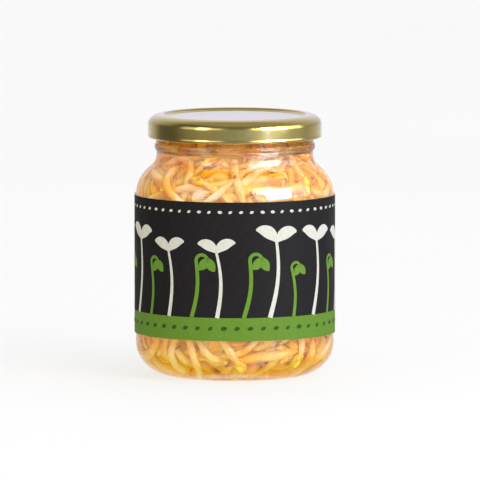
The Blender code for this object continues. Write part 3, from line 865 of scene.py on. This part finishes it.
def hooked_sprout(bm):
    """A stem that hooks over at its top, with the two halves of its bean hanging from the hook."""
    height, hook = 21 * MM, 2.3 * MM
    shares = [step / 10 for step in range(11)]
    stem = [(1.4 * MM * math.sin(3.1 * share), height * share) for share in shares]
    turns = [math.pi * step / 8 for step in range(1, 8)]
    stem += [(hook - hook * math.cos(turn), height + hook * math.sin(turn)) for turn in turns]
    ribbon(bm, stem, [(1.6 - 0.5 * number / len(stem)) * MM for number in range(len(stem))])
    root = (stem[-1][0], stem[-1][1] + 0.5 * MM)
    for angle, curl in ((-112, -20), (-68, 20)):
        leaf(bm, root, math.radians(angle), length=5.6 * MM, width=3.4 * MM, curl=math.radians(curl))


def seed(bm):
    """One seed, lying on its side."""
    leaf(bm, (-1.2 * MM, 0), math.radians(18), length=2.4 * MM, width=1.6 * MM)


seedling_motif = motif("seedling_motif", open_seedling)
hooked_motif = motif("hooked_motif", hooked_sprout)
seed_motif = motif("seed_motif", seed)
print("motif faces:", [len(drawn.data.polygons) for drawn in (seedling_motif, hooked_motif, seed_motif)])

# %% A tree that repeats a motif and wraps it round the jar
PRINT_PROUD = 0.06 * MM
PRINT_MARGIN = math.radians(14)
PRINT_RADIUS = LABEL_INNER + PAPER + PRINT_PROUD
PRINT_START = SEAM_AT + PRINT_MARGIN
PRINT_TURN = math.radians(336)


def shape_tree(name, wanted):
    """A Geometry Nodes tree with these named inputs, and its input node."""
    tree = bpy.data.node_groups.new(name, "GeometryNodeTree")
    given = group_inputs(tree, wanted)
    tree.interface.new_socket("Geometry", in_out="OUTPUT", socket_type="NodeSocketGeometry")
    return tree, given


def hand_out(tree, geometry, finish_of):
    """Ends a tree: its copies become real, take their finish and are put out."""
    whole = add(tree, "GeometryNodeRealizeInstances", {0: geometry})
    coated = add(tree, "GeometryNodeSetMaterial", {"Geometry": whole.outputs[0], "Material": finish_of})
    add(tree, "NodeGroupOutput", {0: coated.outputs[0]})
    return tree


def set_input(modifier, name, value):
    """Sets a modifier's input by the identifier that its name stands for."""
    sockets = modifier.node_group.interface.items_tree
    identifier = next(item.identifier for item in sockets if item.name == name and item.in_out == "INPUT")
    modifier[identifier] = value


def frieze_tree():
    """Copies a motif along a line, varies its size, and wraps the line round the jar."""
    tree, given = shape_tree("wrapped_frieze", (
        ("Geometry", "Geometry", None), ("Motif", "Object", None), ("Ink", "Material", None),
        ("Count", "Int", 20), ("First", "Float", 0.0), ("Spacing", "Float", 12 * MM),
        ("Height", "Float", 25 * MM), ("Smallest", "Float", 0.8), ("Largest", "Float", 1.1),
        ("Tilt", "Float", 0.06), ("Seed", "Int", 1),
    ))
    start = add(tree, "ShaderNodeCombineXYZ", {"X": given.outputs["First"], "Z": given.outputs["Height"]})
    offset = add(tree, "ShaderNodeCombineXYZ", {"X": given.outputs["Spacing"]})
    line = add(tree, "GeometryNodeMeshLine", {
        "Count": given.outputs["Count"], "Start Location": start.outputs[0], "Offset": offset.outputs[0],
    })
    drawn = add(tree, "GeometryNodeObjectInfo", {"Object": given.outputs["Motif"]})
    lean = add(tree, "FunctionNodeRandomValue", {"Seed": given.outputs["Seed"]}, data_type="FLOAT")
    tree.links.new(maths(tree, "MULTIPLY", given.outputs["Tilt"], -1.0), lean.inputs[2])
    tree.links.new(given.outputs["Tilt"], lean.inputs[3])
    turned_by = add(tree, "ShaderNodeCombineXYZ", {"Y": lean.outputs[1]})
    grown = add(tree, "FunctionNodeRandomValue", {"Seed": given.outputs["Seed"]}, data_type="FLOAT")
    tree.links.new(given.outputs["Smallest"], grown.inputs[2])
    tree.links.new(given.outputs["Largest"], grown.inputs[3])
    tall = add(tree, "ShaderNodeCombineXYZ", {"X": grown.outputs[1], "Y": 1.0, "Z": grown.outputs[1]})
    copies = add(tree, "GeometryNodeInstanceOnPoints", {
        "Points": line.outputs[0], "Instance": drawn.outputs["Geometry"],
        "Rotation": turned_by.outputs[0], "Scale": tall.outputs[0],
    })
    flat = add(tree, "GeometryNodeRealizeInstances", {"Geometry": copies.outputs[0]})
    place = add(tree, "ShaderNodeSeparateXYZ", {0: add(tree, "GeometryNodeInputPosition").outputs[0]})
    angle = maths(tree, "MULTIPLY_ADD", place.outputs["X"], 1 / PRINT_RADIUS, PRINT_START)
    reach = maths(tree, "SUBTRACT", PRINT_RADIUS, place.outputs["Y"])
    wrapped = add(tree, "ShaderNodeCombineXYZ", {
        "X": maths(tree, "MULTIPLY", maths(tree, "COSINE", angle), reach),
        "Y": maths(tree, "MULTIPLY", maths(tree, "SINE", angle), reach),
        "Z": place.outputs["Z"],
    })
    moved = add(tree, "GeometryNodeSetPosition", {
        "Geometry": flat.outputs[0], "Position": wrapped.outputs[0],
    })
    return hand_out(tree, moved.outputs[0], given.outputs["Ink"])


def made_by(tree, name, start_mesh, inputs):
    """Runs a tree once on start_mesh and keeps its result as a plain mesh object."""
    host = linked(name, start_mesh)
    modifier = host.modifiers.new("nodes", "NODES")
    modifier.node_group = tree
    for label, value in inputs.items():
        set_input(modifier, label, value)
    evaluated = host.evaluated_get(bpy.context.evaluated_depsgraph_get())
    result = bpy.data.meshes.new_from_object(evaluated)
    host.modifiers.clear()
    host.data = result
    print(f"{name}: {len(result.polygons)} faces")
    return host


FRIEZE = frieze_tree()
print("frieze nodes:", len(FRIEZE.nodes))

# %% The rows of the print
PAIRS = 11
TOP_MARGIN = 4.2 * MM
line_length = PRINT_RADIUS * PRINT_TURN
band_top = LABEL_BOTTOM + BAND_HEIGHT
band_middle = LABEL_BOTTOM + BAND_HEIGHT / 2


def frieze(name, drawn, ink, number, count, first, height, sizes, tilt):
    """One row of the print, as a finished piece. number seeds its sizes, and first is its start in steps."""
    return made_by(FRIEZE, name, bpy.data.meshes.new(name), {
        "Motif": drawn, "Ink": ink, "Count": count, "First": first * line_length / count,
        "Spacing": line_length / count, "Height": height,
        "Smallest": sizes[0], "Largest": sizes[1], "Tilt": tilt, "Seed": number,
    })


ROWS = (
    ("tall_seedlings", seedling_motif, CREAM_INK, 3, PAIRS, 0.25, band_top, (1.05, 1.3), math.radians(4)),
    ("short_seedlings", hooked_motif, LEAF_INK, 8, PAIRS, 0.75, band_top, (0.85, 1.1), math.radians(6)),
    ("band_seeds", seed_motif, SEED_INK, 5, 4 * PAIRS, 0.5, band_middle, (0.85, 1.1), 0.3),
    ("top_seeds", seed_motif, CREAM_INK, 6, 5 * PAIRS, 0.5, LABEL_TOP - TOP_MARGIN, (0.62, 0.78), 0.5),
)
printed = [frieze(*row) for row in ROWS]
for drawn in (seedling_motif, hooked_motif, seed_motif):
    bpy.data.objects.remove(drawn)

# %% [markdown]
# ## Where the sprouts lie
# Packed sprouts press against the glass and pass over and under each other. Each one is a walk along
# the inside of the jar from a random start, with a slow bend of its own. It is laid at the glass, and
# where it meets one laid before, it dips under it. Laying hundreds in turn gives the overlaps of a real
# tangle with no physics.

# %% The surface that sprouts lie on
TANGLE_GAP = 0.35 * MM
TANGLE_NECK_TOP = 87.9 * MM
TANGLE_TOP = 92.0 * MM
SURFACE_POINTS = (24, 14, 10, 20)
SURFACE_SPACING = 0.4 * MM
BEHIND_LABEL = (LABEL_BOTTOM + 3 * MM, LABEL_TOP - 5 * MM)
FOOT_LEVEL = BASE_THICKNESS + 2 * MM


def tangle_outline(inset, heel_points, shoulder_points, neck_points, dome_points):
    """The tangle's outside from under its middle, up the side and over its dome, moved inwards by inset."""
    room = WALL + TANGLE_GAP + inset
    floor = BASE_THICKNESS + TANGLE_GAP + inset
    start = [(0, floor + FLOOR_RISE)]
    neck = NECK_RADIUS - room
    dome = arc((0, TANGLE_NECK_TOP), (neck, TANGLE_TOP - inset - TANGLE_NECK_TOP), 0, 90, dome_points)
    dome[-1] = (0, dome[-1][1])
    return start + side(room, floor, heel_points, shoulder_points, neck_points) + dome


class Surface:
    """The tangle's outside as a turned surface that a sprout can be laid along."""

    def __init__(self, clear_weight, hidden_weight):
        corners = np.array(tangle_outline(0, *SURFACE_POINTS))
        spans = np.linalg.norm(np.diff(corners, axis=0), axis=1)
        run = np.concatenate([[0], np.cumsum(spans)])
        fine = np.arange(0, run[-1], SURFACE_SPACING)
        self.points = np.column_stack([np.interp(fine, run, corners[:, axis]) for axis in (0, 1)])
        along = np.gradient(self.points, axis=0)
        along /= np.linalg.norm(along, axis=1)[:, None]
        self.outward = np.column_stack([along[:, 1], -along[:, 0]])
        levels = self.points[:, 1]
        behind_label = (levels > BEHIND_LABEL[0]) & (levels < BEHIND_LABEL[1])
        top_or_foot = (levels < FOOT_LEVEL) | (levels > TANGLE_NECK_TOP)
        weight = np.where(top_or_foot, hidden_weight, clear_weight)
        self.area = np.cumsum(self.points[:, 0] * np.where(behind_label, 1.0, weight))
        self.area /= self.area[-1]

    def at_share(self, share, turn):
        """The point below which this share of the weighted surface lies, turned round the axis."""
        radius, height = self.points[np.searchsorted(self.area, share)]
        return np.array([radius * math.cos(turn), radius * math.sin(turn), height])

    def settle(self, place):
        """The nearest point of the surface, and its outward normal there."""
        radius = max(math.hypot(place[0], place[1]), 1e-9)
        flat = np.array([radius, place[2]])
        nearest = int(np.argmin(((self.points - flat) ** 2).sum(axis=1)))
        normal = self.outward[nearest]
        flat = flat - normal * np.dot(flat - self.points[nearest], normal)
        across = np.array([place[0] / radius, place[1] / radius])
        point = np.array([across[0] * flat[0], across[1] * flat[0], flat[1]])
        return point, np.array([across[0] * normal[0], across[1] * normal[0], normal[1]])


print("surface points:", len(Surface(1.0, 1.0).points))

# %% A walk along the surface
SPROUT_LENGTH = (36 * MM, 54 * MM)
STEM_RADIUS = (1.45 * MM, 1.8 * MM)
BEND_RADIUS = (15 * MM, 70 * MM)
BEAN_LENGTH = 8.5 * MM
BEAN_RADIUS = 2.3 * MM
NECK_BY_BEAN = 0.7 * MM
HELD_BY_BEAN = 0.4 * BEAN_LENGTH
TAIL_LENGTH = 9.0 * MM
TAIL_RADIUS = 0.4 * MM
TAIL_TAPER = 0.8
STEP = 1.0 * MM
WAVE_SHARE = (0.15, 0.5)
LEAST_WAVE = 6.0
WAVE_TURN = 0.16
GOLDEN_ANGLE = math.pi * (3 - math.sqrt(5))


def walk(surface, start, heading, bends, count):
    """A path of count steps along the surface from start, and the normals under it."""
    place, normal = surface.settle(start)
    places, normals = [place], [normal]
    for step in range(count):
        heading = heading - normal * np.dot(heading, normal)
        heading = heading / np.linalg.norm(heading)
        turn = bends(step) * STEP
        heading = heading * math.cos(turn) + np.cross(normal, heading) * math.sin(turn)
        place, normal = surface.settle(place + heading * STEP)
        places.append(place)
        normals.append(normal)
    return places, normals


def sprout_path(surface, rank, total, draw):
    """One sprout's path on the surface, from its bean: points, normals and the stem's radius."""
    length = draw.uniform(*SPROUT_LENGTH)
    middle = surface.at_share((rank + 0.5) / total, rank * GOLDEN_ANGLE)
    angle = draw.uniform(0, math.tau)
    bend = draw.choice((-1, 1)) / draw.uniform(*BEND_RADIUS)
    wave = draw.uniform(*WAVE_SHARE) * abs(bend) + LEAST_WAVE
    phase = draw.uniform(0, math.tau)
    _, normal = surface.settle(middle)
    across = np.array([-middle[1], middle[0], 0.0])
    across = across / np.linalg.norm(across)
    heading = across * math.cos(angle) + np.cross(normal, across) * math.sin(angle)
    count = int(length / 2 / STEP)

    def bends(step):
        return bend + wave * math.sin(phase + step * WAVE_TURN)

    def bends_back(step):
        return -(bend + wave * math.sin(phase - step * WAVE_TURN))

    ahead, ahead_normals = walk(surface, middle, heading, bends, count)
    behind, behind_normals = walk(surface, middle, -heading, bends_back, count)
    points = np.array(behind[:0:-1] + ahead)
    normals = np.array(behind_normals[:0:-1] + ahead_normals)
    return points, normals, draw.uniform(*STEM_RADIUS)


def thickness(run, length, stem):
    """A sprout's radius at a distance along it: a thin neck under the bean, the stem, and a fine tail."""
    swell = min(max((run - HELD_BY_BEAN) / BEAN_LENGTH, 0), 1)
    to_tail = min(max((length - run) / TAIL_LENGTH, 0), 1)
    by_bean = NECK_BY_BEAN + (stem - NECK_BY_BEAN) * swell
    return min(by_bean, TAIL_RADIUS + (stem - TAIL_RADIUS) * to_tail**TAIL_TAPER)


radii = [thickness(run * MM, 45 * MM, 1.6 * MM) / MM for run in range(0, 46, 9)]
print("a 45 mm sprout's radii:", [round(radius, 1) for radius in radii])

# %% Laying the sprouts in turn
OUTER_SPROUTS = 46
OUTER_SEED = 11
OUTER_WEIGHTS = (3.0, 3.0)
INNER_SPROUTS = 480
INNER_SEED = 23
INNER_WEIGHTS = (7.0, 1.5)
INNER_THINNER = 0.92
INNER_SQUEEZE = 0.72
DEEPEST = 8.0 * MM
LEAST_ROOM = 0.9 * MM
SMOOTHING_PASSES = 40


def lay(surface, total, seed, laid, thinner=1.0, squeeze=1.0):
    """Lays sprouts under those in laid, and returns laid with theirs added, and a record for each sprout.
    squeeze under 1 lets them press into each other, as soft stems do."""
    draw = random.Random(seed)
    sprouts = []
    for rank in draw.sample(range(total), total):
        points, normals, stem = sprout_path(surface, rank, total, draw)
        length = (len(points) - 1) * STEP
        stem *= thinner
        radii = np.array([thickness(step * STEP, length, stem) for step in range(len(points))])
        held = np.maximum(radii, LEAST_ROOM)
        gaps = np.linalg.norm(points[:, None, :] - laid[None, :, :3], axis=2)
        reach = (held[:, None] + laid[None, :, 4]) * squeeze
        under = np.where(gaps < reach, laid[:, 3] + np.sqrt(np.maximum(reach**2 - gaps**2, 0)), 0)
        depth = np.clip(under.max(axis=1, initial=0), held, DEEPEST)
        for _ in range(SMOOTHING_PASSES):
            between = (np.roll(depth, 1) + np.roll(depth, -1)) / 2
            between[[0, -1]] = depth[[0, -1]]
            depth = np.maximum(depth, between)
        laid = np.vstack([laid, np.column_stack([points, depth, held])])
        sprouts.append((points - normals * depth[:, None], normals, radii))
    return laid, sprouts


laid, outer = lay(Surface(*OUTER_WEIGHTS), OUTER_SPROUTS, OUTER_SEED, np.empty((0, 5)))
deeper = Surface(*INNER_WEIGHTS)
laid, inner = lay(deeper, INNER_SPROUTS, INNER_SEED, laid, INNER_THINNER, INNER_SQUEEZE)
print(f"{len(outer)} outer and {len(inner)} inner sprouts, {len(laid)} points")

# %% [markdown]
# ## Growing tubes along the paths
# A path becomes a mesh of edges with three attributes: thickness, tint and along. Geometry Nodes turn
# it into curves and sweep a ring along each at its own thickness, so every sprout comes from one small
# tree. The attributes travel to the tube, where the flesh finish reads them.

# %% The stems
TINT_SEED = 5


def stem_tree():
    """Sweeps a ring along every path, with the radius that its thickness attribute gives."""
    tree, given = shape_tree("sprout_stems", (
        ("Geometry", "Geometry", None), ("Sides", "Int", 8), ("Flesh", "Material", None),
    ))
    curves = add(tree, "GeometryNodeMeshToCurve", {0: given.outputs[0]})
    ring = add(tree, "GeometryNodeCurvePrimitiveCircle", {
        "Resolution": given.outputs["Sides"], "Radius": 1.0,
    })
    radius = add(tree, "GeometryNodeInputNamedAttribute", {"Name": "thickness"}, data_type="FLOAT")
    tubes = add(tree, "GeometryNodeCurveToMesh", {
        "Curve": curves.outputs[0], "Profile Curve": ring.outputs[0],
        "Scale": radius.outputs["Attribute"], "Fill Caps": True,
    })
    smooth = add(tree, "GeometryNodeSetShadeSmooth", {0: tubes.outputs[0]})
    return hand_out(tree, smooth.outputs[0], given.outputs["Flesh"])


def mesh_with(name, points, edges, values):
    """A mesh of points and edges with these attributes: one number or one vector for each point."""
    mesh = bpy.data.meshes.new(name)
    mesh.from_pydata(points, edges, [])
    for label, numbers in values.items():
        kind, field = ("FLOAT", "value") if len(numbers) == len(points) else ("FLOAT_VECTOR", "vector")
        mesh.attributes.new(label, kind, "POINT").data.foreach_set(field, numbers)
    return mesh


def paths_mesh(name, sprouts, draw):
    """The sprouts' paths as edges, with the attributes that the sweep and the finish read."""
    points, edges = [], []
    values = {"thickness": [], "tint": [], "along": []}
    for line, _, radii in sprouts:
        first = len(points)
        last = len(line) - 1
        points += line.tolist()
        edges += [(first + step, first + step + 1) for step in range(last)]
        values["thickness"] += radii.tolist()
        values["tint"] += [draw.random()] * len(line)
        values["along"] += [step / last for step in range(len(line))]
    return mesh_with(name, points, edges, values)


def stems(name, sprouts, sides):
    """The stems of some sprouts, as one finished piece."""
    return made_by(STEMS, name, paths_mesh(name, sprouts, tint_draw), {"Sides": sides, "Flesh": FLESH})


STEMS = stem_tree()
tint_draw = random.Random(TINT_SEED)
half = len(inner) // 2
LAYERS = (("outer_stems", outer, 12), ("middle_stems", inner[:half], 8), ("deep_stems", inner[half:], 7))
swept = [stems(*layer) for layer in LAYERS]

# %% [markdown]
# ## The beans
# At the head of a sprout the seed has opened into two plump halves. One pair is modelled, and Geometry
# Nodes set it on a point at the head of each sprout that kept its seed. An axis attribute turns the
# pair along the sprout.

# %% One bean in two halves
HALF_WIDTH = 0.62 * BEAN_RADIUS
HALF_DEPTH = 0.92 * BEAN_RADIUS
FLAT_SIDE = 0.25
BULGE = 0.12
BULGE_SPAN = 1.4
SLIPPED = 0.3 * MM


def bean_pair():
    """Two rounded seed halves that lie face to face, along Z."""
    bm = bmesh.new()
    for way in (1, -1):
        made = bmesh.ops.create_uvsphere(bm, u_segments=10, v_segments=7, radius=1.0)
        for vert in made["verts"]:
            flattened = vert.co.x if vert.co.x * way > 0 else vert.co.x * FLAT_SIDE
            bulge = 1 + BULGE * math.cos(vert.co.z * BULGE_SPAN)
            vert.co = Vector((
                flattened * HALF_WIDTH * bulge + way * FLAT_SIDE * BEAN_RADIUS,
                vert.co.y * HALF_DEPTH * bulge,
                vert.co.z * 0.5 * BEAN_LENGTH + way * SLIPPED,
            ))
    bmesh.ops.recalc_face_normals(bm, faces=bm.faces)
    mesh = bpy.data.meshes.new("bean_pair")
    bm.to_mesh(mesh)
    bm.free()
    mesh.shade_smooth()
    return linked("bean_pair", mesh)


def bean_tree():
    """Sets the bean on every point, turned along the axis attribute and scaled by size."""
    tree, given = shape_tree("sprout_beans", (
        ("Geometry", "Geometry", None), ("Bean", "Object", None), ("Halves", "Material", None),
    ))
    along, outward, size = (
        add(tree, "GeometryNodeInputNamedAttribute", {"Name": name}, data_type=kind)
        for name, kind in (("axis", "FLOAT_VECTOR"), ("outward", "FLOAT_VECTOR"), ("size", "FLOAT"))
    )
    turned_by = add(tree, "FunctionNodeAxesToRotation", {
        "Primary Axis": along.outputs["Attribute"], "Secondary Axis": outward.outputs["Attribute"],
    }, primary_axis="Z", secondary_axis="X")
    shape = add(tree, "GeometryNodeObjectInfo", {"Object": given.outputs["Bean"]})
    copies = add(tree, "GeometryNodeInstanceOnPoints", {
        "Points": given.outputs[0], "Instance": shape.outputs["Geometry"],
        "Rotation": turned_by.outputs[0], "Scale": size.outputs["Attribute"],
    })
    return hand_out(tree, copies.outputs[0], given.outputs["Halves"])


bean = bean_pair()
print("bean:", len(bean.data.polygons), "faces")

# %% Beans on the sprouts
KEPT_ITS_BEAN = 0.3
BEAN_MIDDLE = round(BEAN_LENGTH * 0.45 / STEP)
STEM_STEPS = 3
BEAN_SUNK = 0.3 * MM
BEAN_SIZES = (0.72, 1.0)
BEAN_SEED = 9


def heads_mesh(sprouts, draw):
    """A point at the head of each sprout that kept its bean."""
    points = []
    values = {"axis": [], "outward": [], "size": [], "tint": []}
    for line, normals, _ in sprouts:
        normal = normals[BEAN_MIDDLE]
        points.append(tuple(line[BEAN_MIDDLE] - normal * BEAN_SUNK))
        axis = line[0] - line[BEAN_MIDDLE + STEM_STEPS]
        across = np.cross(axis, normal)
        roll = draw.uniform(0, math.pi)
        across /= np.linalg.norm(across)
        values["axis"] += (axis / np.linalg.norm(axis)).tolist()
        values["outward"] += (normal * math.cos(roll) + across * math.sin(roll)).tolist()
        values["size"].append(draw.uniform(*BEAN_SIZES))
        values["tint"].append(draw.random())
    return mesh_with("sprout_heads", points, [], values)


draw = random.Random(BEAN_SEED)
with_beans = [*outer, *(sprout for sprout in inner if draw.random() < KEPT_ITS_BEAN)]
heads = heads_mesh(with_beans, draw)
beans = made_by(bean_tree(), "bean_halves", heads, {"Bean": bean, "Halves": BEAN})
bpy.data.objects.remove(bean)

# %% [markdown]
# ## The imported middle
# Behind what can be seen, the jar is full. A turned body stands in for that mass, at the depth where
# the laid sprouts end. Its surface is lumpy, in a long, tangled way, so that a gap between two sprouts
# shows more sprouts in shadow and no smooth wall.

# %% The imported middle
CORE_DEPTH = 6.4 * MM
CORE_POINTS = (30, 24, 12, 24)
CORE_STEPS = 180
LUMP_HEIGHT = 0.55 * MM
LUMP_WAVES = ((9, 420, 0.0), (14, -310, 1.3), (5, 690, 0.0))
FULL_LUMPS_FROM = 20 * MM


def lumps(radius, turn, height):
    """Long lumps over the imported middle, from a few waves that cross."""
    wave = sum(np.sin(round_jar * turn + up * height + phase) for round_jar, up, phase in LUMP_WAVES)
    share = np.clip(radius / FULL_LUMPS_FROM, 0, 1)
    return radius + LUMP_HEIGHT * wave * share, height


middle_outline = tangle_outline(CORE_DEPTH, *CORE_POINTS)
middle_outline = [(max(radius, 0), height) for radius, height in middle_outline]
packed_middle = turned("packed_middle", middle_outline, CORE_STEPS, CORE, lumps)

# %% [markdown]
# ## The floor
# The jar stands on a white sweep that reaches far past the picture, so the horizon never shows. It
# glows a little, as a sheet lit from behind does, which keeps the jar's shadow faint and its thick base
# clear. The lacquer mirrors the dim room and no white floor, so the floor is hidden from mirrored rays.

# %% The floor
FLOOR_HALF = 6.0

SWEEP = mottled_finish("white_sweep", {
    "Specular IOR Level": 0.1, "Emission Color": (1.0, 0.99, 0.97), "Emission Strength": 0.65,
}, 400 * MM, ((0.24, 0.24, 0.24), (0.255, 0.255, 0.255)), (200 * MM, 0.7, 0.9))
floor_mesh = bpy.data.meshes.new("floor")
edges = (-FLOOR_HALF, FLOOR_HALF)
corners = [(x, y, 0) for y in edges for x in edges]
floor_mesh.from_pydata(corners, [], [(0, 1, 3, 2)])
floor_mesh.materials.append(SWEEP)
floor = linked("floor", floor_mesh)
floor.visible_glossy = False
print("floor", 2 * FLOOR_HALF, "m square")

# %% [markdown]
# ## Giving every piece its body
# Each piece moves with the jar or with the lid, and the solid that it stands for is hidden. The sealing
# ring's own solid is right as it is, and only takes its finish. Light from the lamps passes the clear pieces
# without casting their shadow, because the light they would bend is too fine for the few rays of a
# render.

# %% Bodies and replaced solids, and slot names that nothing here uses
PIECES = (
    ("jar", "glass_jar", "clear_glass", [glass_jar]),
    ("lid", "lid", "gold_lacquer", [lid]),
    ("jar", "brine", "brine", [brine]),
    ("jar", "label", "printed_paper", [paper_label, *printed]),
    ("jar", "sprout_tangle", "sprout_flesh", [*swept, beans, packed_middle]),
)
for body, node, slot, pieces in PIECES:
    for piece in pieces:
        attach(piece, body)
        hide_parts(node)
for clear in (glass_jar, brine):
    clear.visible_shadow = False
    clear.visible_diffuse = False
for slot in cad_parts["sealing_ring"].material_slots:
    slot.material = COMPOUND
print(sum(len(pieces) for *_, pieces in PIECES), "pieces, and the sealing ring's own solid")
